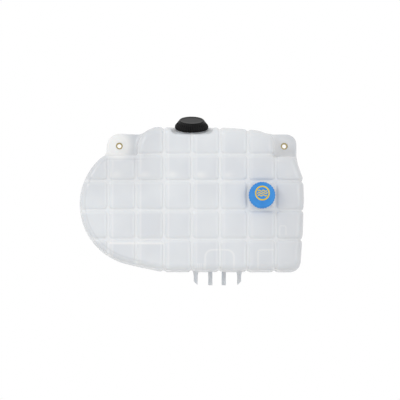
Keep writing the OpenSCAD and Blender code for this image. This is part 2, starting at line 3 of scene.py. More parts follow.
import bpy
import numpy as np
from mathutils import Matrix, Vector


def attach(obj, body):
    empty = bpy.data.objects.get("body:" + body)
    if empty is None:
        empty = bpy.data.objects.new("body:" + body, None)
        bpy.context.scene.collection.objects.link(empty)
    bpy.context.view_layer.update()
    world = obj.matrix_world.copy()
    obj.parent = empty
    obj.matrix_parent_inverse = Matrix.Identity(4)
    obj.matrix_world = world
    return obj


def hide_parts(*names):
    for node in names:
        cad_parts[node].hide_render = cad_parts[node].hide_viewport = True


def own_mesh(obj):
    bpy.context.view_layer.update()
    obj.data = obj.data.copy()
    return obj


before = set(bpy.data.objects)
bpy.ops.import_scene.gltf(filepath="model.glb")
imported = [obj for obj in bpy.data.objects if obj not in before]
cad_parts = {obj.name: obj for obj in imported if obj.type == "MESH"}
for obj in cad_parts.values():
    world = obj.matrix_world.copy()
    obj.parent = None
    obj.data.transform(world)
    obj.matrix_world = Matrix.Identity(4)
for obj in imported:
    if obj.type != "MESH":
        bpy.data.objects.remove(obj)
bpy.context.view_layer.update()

# Coolant expansion tank: moulded skins, caps, springs, materials, light and camera round the CAD pieces.
# Sizes are in millimetres, in the frame's own axes: x to the right, z up, depth away from the weld plane.
MM = 0.001

# Body: its outline, the quilt lines and the pads between them
SHELL_DEPTH = 88.0
LEFT_X = -345.0
RIGHT_X = 288.5
TOP_Z = 52.5
BOTTOM_Z = -356.5
ROUND_END = (-171.5, -165.0, 174.0)
ROUND_DISC_R = 40.0
COLUMN_X = np.array([-266.4 + 78.8 * i for i in range(7)])
ROW_Z = np.array([-27.0, -102.0, -184.5, -267.0])
CROWN = 1.5
GROOVE = 4.5
LAND = 8.0
LAND_ROLL = 0.8
PAD_EDGE = 9.0
EDGE_R = 20.0
DRAFT = 2.0
CORNER_R = 0.5
WELD_BEAD = 1.3
WELD_BEAD_W = 1.8
WELD_FACE = 0.02

# Lugs and the raised pads round their bushes
BUSH_X = 234.1
LUG_HALF = 10.0
LUG_EDGE_R = 2.5
BUSH_PAD_R = 14.0
BUSH_PAD_RISE = 0.6
BUSH_HOLE_R = 9.15

# Filler: its seat, and the neck that leans to the front
FILLER_TILT = math.radians(21.0)
FILLER = np.array([COLUMN_X[3], -44.0, 50.0])
FILLER_AXIS = np.array([0.0, -math.sin(FILLER_TILT), math.cos(FILLER_TILT)])
FILLER_NECK_R = 36.0
NECK_TAIL_R = 34.1
NECK_FLANGE_R = 41.0
NECK_BOSS_H = 40.0
SEAT_DROP = 4.0
SEAT_R = 50.5

# Bosses of the pressure neck in front and the outlet behind
PRESSURE = np.array([(COLUMN_X[5] + COLUMN_X[6]) / 2, 0.0, (ROW_Z[1] + ROW_Z[2]) / 2])
PRESSURE_NECK_R = 30.0
BOSS_R = 36.0
BOSS_TOP = 90.5
BOSS_EDGE_R = 1.5
OUTLET = np.array([(COLUMN_X[2] + COLUMN_X[3]) / 2, 0.0, (ROW_Z[3] + BOTTOM_Z) / 2])
OUTLET_BOSS_R = 28.0
OUTLET_R = 19.0
HOLE_GAP = 0.1

# Recesses in the underside, and the prongs beside the tubes
POCKET_FRONT = 40.0
POCKET_TOP = -291.0
POCKET_FOOT = (-420.0, -380.0)
VENT_POCKET_X = (13.0, 94.0)
SENSOR_POCKET_X = (162.0, 200.9)
FINGER_CENTRE_X = 45.3
FINGER_END = -393.0
PRONG_PITCH = 123.7
PRONG_DEPTH = 28.0
PRONG_HALF = 4.0
PRONG_HALF_W = 5.0
PRONG_ROOT_HALF_W = 7.0
PRONG_EDGE_R = 1.2
PRONG_INSET = 12.0
PRONG_SLANT = 10.0

# Widths over which the forms run into one another
OUTLINE_BLEND = 8.0
LUG_BLEND = 12.0
BUSH_PAD_BLEND = 1.5
EDGE_BLEND = 3.0
PRONG_BLEND = 2.5
SEAT_BLEND = 5.0
SEAT_FOOT_BLEND = 6.0
NECK_BOSS_BLEND = 4.0


# Forms as distance fields: negative inside, positive outside

def hull_of_discs(discs, sides):
    """Outward normals and offsets of the convex outline round a list of discs."""
    turn = np.linspace(0, 2 * math.pi, sides, endpoint=False)
    circle = np.stack([np.cos(turn), np.sin(turn)], 1)
    offsets = np.max([circle @ np.array(d[:2]) + d[2] for d in discs], axis=0)
    return circle, offsets


def outline_distance(outline, x, z):
    """Distance from a convex outline, below 0 inside it."""
    normals, offsets = outline
    points = np.stack([x.ravel(), z.ravel()], 1)
    best = np.full(len(points), -1e9)
    for normal, offset in zip(normals, offsets):
        np.maximum(best, points @ normal - offset, out=best)
    return best.reshape(x.shape)


def smooth_min(a, b, k):
    """The nearer of two forms, blended over a width k where they meet."""
    h = np.clip(0.5 + 0.5 * (b - a) / k, 0, 1)
    return b * (1 - h) + a * h - k * h * (1 - h)


def smooth_max(a, b, k):
    return -smooth_min(-a, -b, k)


def fade(value, start, length):
    """0 up to start, then rising to 1 over a length; with a negative length it rises the other way."""
    return np.clip((value - start) / length, 0, 1)


def rounded_slab(side, front, radius):
    """A form bounded by a side and a front, with a rolled edge between them."""
    a = side + radius
    b = front + radius
    return np.hypot(np.maximum(a, 0), np.maximum(b, 0)) + np.minimum(np.maximum(a, b), 0) - radius


def body_discs():
    """Discs whose hulls are the body's outline: the long lower part, and the upper part between the lugs."""
    cx, cz, r = ROUND_END
    top_angle = math.pi - math.asin((ROW_Z[0] - ROUND_DISC_R - cz) / (r - ROUND_DISC_R))
    angles = np.linspace(top_angle, 1.5 * math.pi, 40)
    swing = r - ROUND_DISC_R
    lower = [(cx + swing * math.cos(a), cz + swing * math.sin(a), ROUND_DISC_R) for a in angles]
    lower += [
        (cx + 71.5, BOTTOM_Z + 100, 100), (RIGHT_X - 38.5, BOTTOM_Z + 29.5, 29.5),
        (RIGHT_X - 32.5, ROW_Z[0] - 198, 30), (RIGHT_X - 30, ROW_Z[0] - 125, 30),
        (RIGHT_X - 32.5, ROW_Z[0] - 73, 30), (RIGHT_X - 43.5, ROW_Z[0] - 23, 23),
    ]
    left = COLUMN_X[1] + LAND / 2 - 1.3
    right = COLUMN_X[6] - 0.6
    upper = [
        (left + 62, TOP_Z - 62, 62), (COLUMN_X[3] + 40, TOP_Z - 40, 40),
        (COLUMN_X[5] - 28, TOP_Z - 44.5, 40), (COLUMN_X[5] + 22, TOP_Z - 44, 35),
        (right - 28, TOP_Z - 46.5, 28), (right - 28, ROW_Z[0] - 93, 28), (left + 62, ROW_Z[0] - 93, 62),
    ]
    return lower, upper


def box_discs(x0, x1, z0, z1):
    """The four corners of a box, a little rounded."""
    return [
        (x, z, CORNER_R) for x in (x0 + CORNER_R, x1 - CORNER_R) for z in (z0 + CORNER_R, z1 - CORNER_R)
    ]


LOWER_DISCS, UPPER_DISCS = body_discs()
LOWER = hull_of_discs(LOWER_DISCS, 180)
UPPER = hull_of_discs(UPPER_DISCS, 180)
LEFT_LUG = hull_of_discs(
    [(-BUSH_X, 0, 34), (-141.5, 28, 2)]
    + box_discs(-201.5, -141.5, -67, 20) + box_discs(-271.5, -231.5, -47, -37), 120
)
RIGHT_LUG = hull_of_discs(
    [(240.1, 5, 28)] + box_discs(166.4, 268.1, -67, -31) + box_discs(166.4, 206.4, 0, 33), 120
)


def pocket_outline(span, corner_r):
    """A recess that is open below, with its upper corners rounded."""
    left, right = span
    return hull_of_discs(
        [(x, POCKET_TOP - corner_r, corner_r) for x in (left + corner_r, right - corner_r)]
        + box_discs(left, right, *POCKET_FOOT), 90
    )


VENT_POCKET = pocket_outline(VENT_POCKET_X, 20)
SENSOR_POCKET = pocket_outline(SENSOR_POCKET_X, 8)


def prong_outline(side):
    """Root and blade of one locating prong, its end cut on the slant."""
    x = FINGER_CENTRE_X + side * PRONG_PITCH / 2
    wide = (x - PRONG_ROOT_HALF_W, x + PRONG_ROOT_HALF_W)
    narrow = (x - PRONG_HALF_W, x + PRONG_HALF_W)
    top = BOTTOM_Z + PRONG_INSET
    root = [(edge, z, CORNER_R) for edge in wide for z in (top, BOTTOM_Z - 0.5)]
    root += [(edge, BOTTOM_Z - 7.5, CORNER_R) for edge in narrow]
    inner_end = FINGER_END + CORNER_R
    blade = [(edge, top, CORNER_R) for edge in narrow] + [
        (x + side * PRONG_HALF_W, inner_end + PRONG_SLANT, CORNER_R),
        (x - side * PRONG_HALF_W, inner_end, CORNER_R),
    ]
    return hull_of_discs(root, 60), hull_of_discs(blade, 60)


PRONGS = [outline for side in (-1, 1) for outline in prong_outline(side)]


def outline_union(x, z):
    """Distance from the outline of the body and both lugs."""
    body = np.minimum(outline_distance(LOWER, x, z), outline_distance(UPPER, x, z))
    return np.minimum(body, np.minimum(outline_distance(LEFT_LUG, x, z), outline_distance(RIGHT_LUG, x, z)))


def groove_depth(x, z):
    """1 on the quilt lines, 0 on the pads, with a rolled border between."""
    def run(lines, value):
        nearest = np.min([np.abs(value - line) for line in lines], axis=0)
        return np.clip((nearest - LAND / 2 + LAND_ROLL) / PAD_EDGE, 0, 1)
    away = np.hypot(1 - run(COLUMN_X, x), 1 - run(ROW_Z, z))
    return 1 - np.sqrt(1 - np.clip(away, 0, 1) ** 2)


def plain_rim(x, side):
    """0 on the smooth rim round the left end, where the grooves run out, else 1."""
    return 1 - fade(x, -160, -20) * fade(side, -12, 9)


def pad_bump(x, z):
    """Rise of the pads: 1 in the middle of each, 0 at its border."""
    edges_x = np.concatenate([[LEFT_X], COLUMN_X, [RIGHT_X]])
    edges_z = np.concatenate([[BOTTOM_Z], ROW_Z[::-1], [TOP_Z]])

    def rise(edges, value):
        i = np.clip(np.searchsorted(edges, value) - 1, 0, len(edges) - 2)
        middle = (edges[i] + edges[i + 1]) / 2
        half = (edges[i + 1] - edges[i]) / 2
        return np.clip(1 - ((value - middle) / half) ** 2, 0, 1)
    return rise(edges_x, x) * rise(edges_z, z)


def on_axis(x, y, z, origin, axis):
    """Distance along and away from an axis."""
    rx, ry, rz = x - origin[0], y - origin[1], z - origin[2]
    along = rx * axis[0] + ry * axis[1] + rz * axis[2]
    away = np.sqrt(np.maximum(rx * rx + ry * ry + rz * rz - along * along, 0))
    return along, away


def with_lugs(field, x, depth, z):
    """The field with both lugs and the raised pads round their bushes."""
    lugs = np.minimum(outline_distance(LEFT_LUG, x, z), outline_distance(RIGHT_LUG, x, z))
    field = smooth_min(field, rounded_slab(lugs, depth - LUG_HALF, LUG_EDGE_R), LUG_BLEND)
    for side_x in (-BUSH_X, BUSH_X):
        pad = rounded_slab(np.hypot(x - side_x, z) - BUSH_PAD_R, depth - LUG_HALF - BUSH_PAD_RISE, 1.0)
        field = smooth_min(field, pad, BUSH_PAD_BLEND)
    return field


def with_rear_forms(field, x, depth, z):
    """The field with the two recesses, the prongs and the outlet's bored boss."""
    for pocket in (VENT_POCKET, SENSOR_POCKET):
        recess = np.maximum(outline_distance(pocket, x, z), POCKET_FRONT - depth)
        field = smooth_max(field, -recess, EDGE_BLEND)
    from_middle = np.abs(depth - PRONG_DEPTH)
    for outline in PRONGS:
        blade = rounded_slab(outline_distance(outline, x, z), from_middle - PRONG_HALF, PRONG_EDGE_R)
        field = smooth_min(field, blade, PRONG_BLEND)
    away = np.hypot(x - OUTLET[0], z - OUTLET[2])
    boss = rounded_slab(away - OUTLET_BOSS_R, depth - BOSS_TOP, BOSS_EDGE_R)
    field = smooth_min(field, boss, EDGE_BLEND)
    return np.maximum(field, OUTLET_R + HOLE_GAP - away)


def with_front_forms(field, x, depth, z):
    """The field with the filler's seat and boss, and the pressure neck's boss, both bored."""
    y = -depth
    along, away = on_axis(x, y, z, FILLER, FILLER_AXIS)
    # The seat of the filler runs out at the front, and its sides slope at 45 degrees
    rearward = (y - FILLER[1]) * math.cos(FILLER_TILT) + (z - FILLER[2]) * math.sin(FILLER_TILT)
    across = np.hypot(x - FILLER[0], np.maximum(rearward, 0))
    slope = (across - SEAT_R - (along + SEAT_DROP)) * math.sqrt(0.5)
    field = smooth_max(field, -smooth_max(slope, -SEAT_DROP - along, SEAT_FOOT_BLEND), SEAT_BLEND)
    boss = np.maximum(np.maximum(away - NECK_FLANGE_R, along + SEAT_DROP), -SEAT_DROP - NECK_BOSS_H - along)
    field = smooth_min(field, boss, NECK_BOSS_BLEND)
    field = np.maximum(field, NECK_TAIL_R - away)
    away = np.hypot(x - PRESSURE[0], z - PRESSURE[2])
    boss = rounded_slab(away - BOSS_R, depth - BOSS_TOP, BOSS_EDGE_R)
    field = smooth_min(field, boss, EDGE_BLEND)
    return np.maximum(field, PRESSURE_NECK_R + HOLE_GAP - away)


def shell_field(x, depth, z, rear):
    """The moulded half shell at points whose depth is counted from the weld plane."""
    side_lower = outline_distance(LOWER, x, z)
    side_upper = outline_distance(UPPER, x, z)
    draft = DRAFT * np.clip(depth, 0, SHELL_DEPTH) / SHELL_DEPTH
    side = smooth_min(side_lower, side_upper, OUTLINE_BLEND) + draft
    front = depth - SHELL_DEPTH - CROWN * pad_bump(x, z)
    field = rounded_slab(side, front, EDGE_R) + GROOVE * groove_depth(x, z) * plain_rim(x, side)
    field = with_lugs(field, x, depth, z)
    field = with_rear_forms(field, x, depth, z) if rear else with_front_forms(field, x, depth, z)
    for side_x in (-BUSH_X, BUSH_X):
        field = np.maximum(field, BUSH_HOLE_R - np.hypot(x - side_x, z))
    # The weld bead stands a little proud all round the joint
    field = field - WELD_BEAD * np.exp(-(depth / WELD_BEAD_W) ** 2)
    return np.maximum(field, WELD_FACE - depth)


def surface_net(field, xs, ys, zs):
    """Quads through the zero level of a field sampled on a grid."""
    inside = field < 0
    shape = tuple(n - 1 for n in field.shape)
    corners = [(i, j, k) for i in (0, 1) for j in (0, 1) for k in (0, 1)]

    def corner(grid, c):
        return grid[c[0]:c[0] + shape[0], c[1]:c[1] + shape[1], c[2]:c[2] + shape[2]]

    count = sum(corner(inside, c).astype(np.int8) for c in corners)
    active = (count > 0) & (count < 8)
    cells = np.argwhere(active)
    index = np.full(shape, -1)
    index[active] = np.arange(len(cells))
    total = np.zeros((len(cells), 3))
    hits = np.zeros(len(cells))
    axes = (xs, ys, zs)
    for a in corners:
        for axis in range(3):
            if a[axis]:
                continue
            b = tuple(1 if n == axis else a[n] for n in range(3))
            pa, pb = cells + a, cells + b
            fa = field[tuple(pa.T)]
            fb = field[tuple(pb.T)]
            cross = (fa < 0) != (fb < 0)
            t = fa[cross] / (fa[cross] - fb[cross])
            for n in range(3):
                va, vb = axes[n][pa[cross, n]], axes[n][pb[cross, n]]
                total[cross, n] += va + t * (vb - va)
            hits[cross] += 1
    points = total / hits[:, None]
    quads = []
    for axis in range(3):
        u, v = (axis + 1) % 3, (axis + 2) % 3
        low = [slice(None)] * 3
        high = [slice(None)] * 3
        low[axis], high[axis] = slice(0, -1), slice(1, None)
        a, b = inside[tuple(low)], inside[tuple(high)]
        where = np.argwhere(a != b)
        for across in (u, v):
            where = where[(where[:, across] > 0) & (where[:, across] < field.shape[across] - 1)]
        leaving = a[tuple(where.T)]
        ring = []
        for du, dv in ((-1, -1), (0, -1), (0, 0), (-1, 0)):
            cell = where.copy()
            cell[:, u] += du
            cell[:, v] += dv
            ring.append(index[tuple(cell.T)])
        quad = np.stack(ring, 1)
        quad[~leaving] = quad[~leaving][:, ::-1]
        quads.append(quad)
    return points, np.concatenate(quads)


# Building and dressing meshes

def make_piece(name, points, faces, material, body, sharp=None, marks=None):
    """A smooth mesh piece from points in millimetres, with edges over the sharp angle kept."""
    mesh = bpy.data.meshes.new(name)
    in_metres = (np.asarray(points, float) * MM).tolist()
    mesh.from_pydata(in_metres, [], [tuple(int(i) for i in face) for face in faces])
    for label, values in (marks or {}).items():
        mark = mesh.attributes.new(label, "FLOAT", "POINT")
        mark.data.foreach_set("value", np.asarray(values, np.float32))
    mesh.shade_smooth()
    if sharp is not None:
        mesh.set_sharp_from_angle(angle=math.radians(sharp))
    mesh.materials.append(material)
    piece = bpy.data.objects.new(name, mesh)
    bpy.context.scene.collection.objects.link(piece)
    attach(piece, body)
    return piece


def dress(material, *nodes):
    """Gives CAD nodes their finished material."""
    for node in nodes:
        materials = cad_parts[node].data.materials
        materials.clear()
        materials.append(material)


def spun(profile, steps, shape):
    """A solid about z. The profile, (radius, height), starts and ends on the axis; shape flutes it."""
    profile = np.array(profile, float)
    middle = profile[1:-1]
    points = [(0, 0, profile[0, 1]), (0, 0, profile[-1, 1])]
    for turn in np.linspace(0, 2 * math.pi, steps, endpoint=False):
        radius = shape(middle[:, 0], middle[:, 1], turn)
        points += [(r * math.cos(turn), r * math.sin(turn), h) for r, h in zip(radius, middle[:, 1])]
    n = len(middle)
    faces = []
    for i in range(steps):
        a = 2 + i * n
        b = 2 + (i + 1) % steps * n
        faces.append((0, a, b))
        faces += [(a + k, a + k + 1, b + k + 1, b + k) for k in range(n - 1)]
        faces.append((1, b + n - 1, a + n - 1))
    return np.array(points), faces


def spun_ring(profile, steps):
    """A ring about z from a closed profile of (radius, height)."""
    points = []
    for turn in np.linspace(0, 2 * math.pi, steps, endpoint=False):
        points += [(r * math.cos(turn), r * math.sin(turn), h) for r, h in profile]
    n = len(profile)
    faces = []
    for i in range(steps):
        a = i * n
        b = (i + 1) % steps * n
        faces += [(a + k, a + (k + 1) % n, b + (k + 1) % n, b + k) for k in range(n)]
    return np.array(points), faces


def swept(centres, ups, sides, half_width, half_height):
    """A bar of four-cornered section along a path, with closed ends."""
    points = []
    for centre, up, side in zip(centres, ups, sides):
        for u, v in ((-1, -1), (1, -1), (1, 1), (-1, 1)):
            points.append(centre + side * u * half_width + up * v * half_height)
    count = len(centres)
    faces = [(0, 3, 2, 1)]
    for i in range(count - 1):
        faces += [(i * 4 + k, i * 4 + (k + 1) % 4, i * 4 + 4 + (k + 1) % 4, i * 4 + 4 + k) for k in range(4)]
    last = (count - 1) * 4
    faces.append((last, last + 1, last + 2, last + 3))
    return np.array(points), faces


def thread(root, crest, low, high, pitch, start, thickness, per_turn=72):
    """A helical ridge from one height to another, fading out at both ends."""
    count = int((high - low) / pitch * per_turn) + 1
    points = []
    for i in range(count):
        turn = 2 * math.pi * i / per_turn + start
        height = low + pitch * i / per_turn
        fade = min(1, i / 12, (count - 1 - i) / 12)
        top = root + (crest - root) * max(fade, 0.05)
        for radius, rise in ((root, -0.5), (top, -0.25), (top, 0.25), (root, 0.5)):
            points.append((radius * math.cos(turn), radius * math.sin(turn), height + rise * thickness))
    faces = [(0, 1, 2, 3)]
    for i in range(count - 1):
        faces += [(i * 4 + k, i * 4 + 4 + k, i * 4 + 4 + (k + 1) % 4, i * 4 + (k + 1) % 4) for k in range(4)]
    last = (count - 1) * 4
    faces.append((last + 3, last + 2, last + 1, last))
    return np.array(points), faces


def coil(outer_r, wire, low, high, turns, per_turn=40, sides=12):
    """Round wire wound about z from one height to another, with closed ends."""
    count = turns * per_turn
    points = []
    for i in range(count + 1):
        turn = 2 * math.pi * i / per_turn
        middle = low + wire / 2 + (high - low - wire) * i / count
        for k in range(sides):
            round_wire = 2 * math.pi * k / sides
            radius = outer_r - wire / 2 + wire / 2 * math.cos(round_wire)
            height = middle + wire / 2 * math.sin(round_wire)
            points.append((radius * math.cos(turn), radius * math.sin(turn), height))
    faces = [tuple(range(sides))]
    for a in range(0, count * sides, sides):
        b = a + sides
        faces += [(a + k, b + k, b + (k + 1) % sides, a + (k + 1) % sides) for k in range(sides)]
    faces.append(tuple(count * sides + k for k in reversed(range(sides))))
    return np.array(points), faces


def turned(points, origin, angle):
    """Turns points about the x axis and moves them to an origin."""
    c, s = math.cos(angle), math.sin(angle)
    return np.asarray(points) @ np.array([[1, 0, 0], [0, c, s], [0, -s, c]]) + np.asarray(origin)


def on_filler(points):
    return turned(points, FILLER, FILLER_TILT)


def on_pressure(points):
    return turned(points, PRESSURE, math.pi / 2)


# Materials

def linear(*colour):
    """A colour given as 0 to 255, turned to linear light."""
    return tuple(v / 255 / 12.92 if v <= 10 else ((v / 255 + 0.055) / 1.055) ** 2.4 for v in colour)


def new_material(name):
    material = bpy.data.materials.new(name)
    material.use_nodes = True
    tree = material.node_tree
    return material, tree, tree.nodes["Principled BSDF"]


def noise(tree, scale, detail=3.0):
    place = tree.nodes.new("ShaderNodeTexCoord")
    made = tree.nodes.new("ShaderNodeTexNoise")
    made.inputs["Scale"].default_value = scale
    made.inputs["Detail"].default_value = detail
    tree.links.new(place.outputs["Object"], made.inputs["Vector"])
    return made.outputs["Fac"]


def ramp(tree, source, low, dark, high, light):
    made = tree.nodes.new("ShaderNodeValToRGB")
    for element, place, colour in zip(made.color_ramp.elements, (low, high), (dark, light)):
        element.position = place
        element.color = (*colour, 1)
    tree.links.new(source, made.inputs["Fac"])
    return made.outputs["Color"]


def bump(tree, shader, source, strength, distance):
    made = tree.nodes.new("ShaderNodeBump")
    made.inputs["Strength"].default_value = strength
    made.inputs["Distance"].default_value = distance
    tree.links.new(source, made.inputs["Height"])
    tree.links.new(made.outputs["Normal"], shader.inputs["Normal"])


def tinted(tree, factor, colour, tint):
    """A colour that turns into the tint where the factor is 1."""
    mix = tree.nodes.new("ShaderNodeMix")
    mix.data_type = "RGBA"
    tree.links.new(factor, mix.inputs["Factor"])
    tree.links.new(colour, mix.inputs["A"])
    mix.inputs["B"].default_value = (*tint, 1)
    return mix.outputs["Result"]


def tank_plastic(marked):
    """Milky polypropylene. The half shells' quilt lines with painted light on their borders, the inner forms
    that show through, and painted light, highlights and shade are marked on their meshes.
    """
    material, tree, shader = new_material("milky_plastic_marked" if marked else "milky_plastic")
    colour = ramp(tree, noise(tree, 9.0, 2.0), 0.35, PAD_DARK, 0.65, PAD_LIGHT)
    if marked:
        for label, tint in (("quilt_line_and_border_light", LINE_AND_BORDER_LIGHT_TINT), ("see_through_and_painted_light", SEE_THROUGH_AND_LIGHT_TINT), ("shade", SHADE_TINT)):
            mark = tree.nodes.new("ShaderNodeAttribute")
            mark.attribute_name = label
            colour = tinted(tree, mark.outputs["Fac"], colour, tint)
    tree.links.new(colour, shader.inputs["Base Color"])
    shader.inputs["Roughness"].default_value = 0.26
    shader.inputs["IOR"].default_value = 1.49
    shader.inputs["Subsurface Weight"].default_value = 0.2
    shader.inputs["Subsurface Radius"].default_value = (0.006, 0.007, 0.008)
    bump(tree, shader, noise(tree, 260.0, 2.0), 0.06, 0.0003)
    return material


def plastic(name, dark, light, roughness, gloss=0.5):
    material, tree, shader = new_material(name)
    colour = ramp(tree, noise(tree, 40.0), 0.35, dark, 0.65, light)
    tree.links.new(colour, shader.inputs["Base Color"])
    shader.inputs["Roughness"].default_value = roughness
    shader.inputs["Specular IOR Level"].default_value = gloss
    bump(tree, shader, noise(tree, 300.0, 2.0), 0.15, 0.0003)
    return material


def metal(name, dark, light, roughness):
    material, tree, shader = new_material(name)
    grain = noise(tree, 160.0)
    tree.links.new(ramp(tree, grain, 0.3, dark, 0.7, light), shader.inputs["Base Color"])
    shader.inputs["Metallic"].default_value = 1.0
    shader.inputs["Roughness"].default_value = roughness
    bump(tree, shader, grain, 0.1, 0.0002)
    return material


PAD_DARK = linear(222, 225, 229)
PAD_LIGHT = linear(229, 232, 235)
# Tints: quilt lines with painted light on their borders, see-through forms with painted light and
# highlights, and painted shade
LINE_AND_BORDER_LIGHT_TINT = linear(235, 237, 239)
SEE_THROUGH_AND_LIGHT_TINT = linear(246, 246, 245)
SHADE_TINT = linear(196, 197, 200)
TANK = tank_plastic(marked=False)
TANK_MARKED = tank_plastic(marked=True)
BLACK = plastic("black_cap_plastic", linear(10, 10, 11), linear(18, 18, 19), 0.38, gloss=0.12)
BLUE = plastic("blue_cap_plastic", linear(40, 132, 212), linear(50, 144, 222), 0.42)
YELLOW = plastic("yellow_print", linear(224, 192, 12), linear(234, 204, 20), 0.5)
RUBBER = plastic("seal_rubber", linear(24, 24, 25), linear(36, 36, 37), 0.7)
GREY = plastic("grey_plastic", linear(70, 72, 76), linear(84, 86, 90), 0.5)
WHITE = plastic("white_plastic", linear(222, 222, 214), linear(234, 234, 226), 0.45)
PASSIVATED = metal("yellow_passivated_bush", linear(158, 142, 92), linear(190, 174, 124), 0.35)
STEEL = metal("spring_steel", linear(186, 188, 192), linear(212, 214, 218), 0.28)
BRASS = metal("turned_brass", linear(196, 166, 92), linear(222, 194, 120), 0.3)


# The two half shells

SKIN_STEP = 2.5
SKIN_X = (-350.0, 294.0)
SKIN_TOP = 62.0
SKIN_DEPTH = (-2.0, 94.0)
DEPTH_STEP = 4.0
FINE_DEPTHS = [(-1.5, 4.5, 1), (6, 14, 2), (66, 94, 2)]
SETTLE_REACH = 0.4
LARGEST_MOVE = 0.8

# Marks on the front wall, with the see-through forms and the painted highlights: how wide a line is, how
# strongly it shows, and where it is
# The quilt lines are paler plastic; their mark spreads over the rolled pad borders as painted light
BORDER_LIGHT_SPREAD = 0.6
SEEN_SHIFT = (5.5, 6.0)
ARCH_W, ARCH_SHARE = 2.2, 0.6
SENSOR_ARCH_END = 180.0
SENSOR_ARCH_RIGHT = 202.0
INNER_LOOP = hull_of_discs([(222, -234, 5), (230, -234, 5), (222, -270, 5), (230, -270, 5)], 60)
INNER_LOOP_FOOT = -256.0
LOOP_W, LOOP_SHARE = 1.8, 0.6
RIB_LINE = (-266.0, -108.0, -278.5)
RIB_W, RIB_SHARE = 3.0, 0.8
PATCH = (-14.0, 12.0, -336.0)
PATCH_PITCH, PATCH_SHARE = 4.5, 0.5
# Painted highlights on the pads: a soft spot in the second row and a streak beside each left border
HIGHLIGHT_SPOT_AT = (23.0, 17.0)
HIGHLIGHT_SPOT_R = (15.0, 9.0)
HIGHLIGHT_SPOT_SHARE = 0.55
HIGHLIGHT_STREAK_AT = 12.5
HIGHLIGHT_STREAK_W, HIGHLIGHT_STREAK_SHARE = 2.6, 0.4

# Round places, as (centre, reach, fall)
NEAR_LEFT_LUG = ((-216, -2), 72, 25)
# Painted light lies on the left lug, and no painted shade
ON_LEFT_LUG = ((-240, 0), 50, 20)
# Painted light lifts the root of the right lug
RIGHT_LUG_ROOT = ((224, -6), 39, 30)


def sample_places(low, high, coarse, fine=()):
    """Sample places at a coarse step, with closer ones inside each (start, stop, step) of fine."""
    places = np.arange(low, high + coarse, coarse)
    for start, stop, step in fine:
        places = places[(places < start - 0.01) | (places > stop + 0.01)]
        places = np.concatenate([places, np.arange(start, stop + step / 2, step)])
    return np.sort(places)


def settle(points, rear):
    """Moves points onto the surface along the field's slope."""
    x, d, z = points.T
    reach = SETTLE_REACH
    here = shell_field(x, d, z, rear)
    slope = np.stack([
        shell_field(x + reach, d, z, rear) - shell_field(x - reach, d, z, rear),
        shell_field(x, d + reach, z, rear) - shell_field(x, d - reach, z, rear),
        shell_field(x, d, z + reach, rear) - shell_field(x, d, z - reach, rear),
    ], 1) / (2 * reach)
    move = -here[:, None] * slope / np.maximum((slope ** 2).sum(1), 0.25)[:, None]
    length = np.linalg.norm(move, axis=1, keepdims=True)
    return points + move * np.minimum(1, LARGEST_MOVE / np.maximum(length, 1e-9))


def trace(distance, width):
    """1 along a line, falling to 0 beside it."""
    return np.exp(-(distance / width) ** 2)


def near_spot(x, z, centre, reach, fall):
    """1 round a centre, falling to 0 at its reach."""
    return fade(np.hypot(x - centre[0], z - centre[1]), reach, -fall)


def see_through_forms_and_highlights(x, z):
    """Outlines of the recesses and stiffening ribs that show through the front wall, with the painted
    highlights on the pads, 0 to 1.
    """
    seen_x, seen_z = x + SEEN_SHIFT[0], z + SEEN_SHIFT[1]
    sensor_arch = outline_distance(SENSOR_POCKET, np.minimum(seen_x, SENSOR_ARCH_END), seen_z)
    arches = np.maximum(
        trace(outline_distance(VENT_POCKET, seen_x, seen_z), ARCH_W),
        trace(sensor_arch, ARCH_W) * (x < SENSOR_ARCH_RIGHT),
    )
    loop = trace(outline_distance(INNER_LOOP, x, z), LOOP_W) * (z > INNER_LOOP_FOOT)
    rib_left, rib_right, rib_z = RIB_LINE
    rib = trace(z - rib_z, RIB_W) * (x > rib_left) * (x < rib_right)
    patch_left, patch_right, patch_top = PATCH
    stripes = np.cos(x * 2 * math.pi / PATCH_PITCH) > 0.2
    patch = stripes * (x > patch_left) * (x < patch_right) * (z < patch_top)
    seen = np.maximum.reduce([
        ARCH_SHARE * arches, LOOP_SHARE * loop, RIB_SHARE * rib, PATCH_SHARE * patch, painted_pad_highlights(x, z)
    ])
    return np.clip(seen, 0, 1)


def painted_pad_highlights(x, z):
    """Painted highlights: a soft spot in the lower left of the second row's pads, and a streak inside each
    pad's left border.
    """
    column = np.searchsorted(COLUMN_X, x) - 1
    from_left = x - COLUMN_X[np.clip(column, 0, len(COLUMN_X) - 1)]
    from_row = z - ROW_Z[1]
    spot = np.exp(-((from_left - HIGHLIGHT_SPOT_AT[0]) / HIGHLIGHT_SPOT_R[0]) ** 2 - ((from_row - HIGHLIGHT_SPOT_AT[1]) / HIGHLIGHT_SPOT_R[1]) ** 2)
    spot = spot * fade(x, 150, -120)
    streak = trace(from_left - HIGHLIGHT_STREAK_AT, HIGHLIGHT_STREAK_W) * fade(x, 260, -400)
    return np.where(column >= 0, np.maximum(HIGHLIGHT_SPOT_SHARE * spot, HIGHLIGHT_STREAK_SHARE * streak), 0)


def rim_light(x, z):
    """Painted light on the thick rolled rim, which makes it paler against the pads, 0 to 1."""
    body = np.minimum(outline_distance(LOWER, x, z), outline_distance(UPPER, x, z))
    return fade(body, -15, 9) * fade(body, 6, -4) * np.maximum(fade(x, -330, 240), 0.1)


def painted_light_marks(x, z):
    """Painted light: on the rim, at the root of the right lug, and on the left lug."""
    root = near_spot(x, z, *RIGHT_LUG_ROOT)
    left_lug = near_spot(x, z, *ON_LEFT_LUG)
    return np.maximum.reduce([0.25 * rim_light(x, z), 0.6 * root, 0.9 * left_lug])


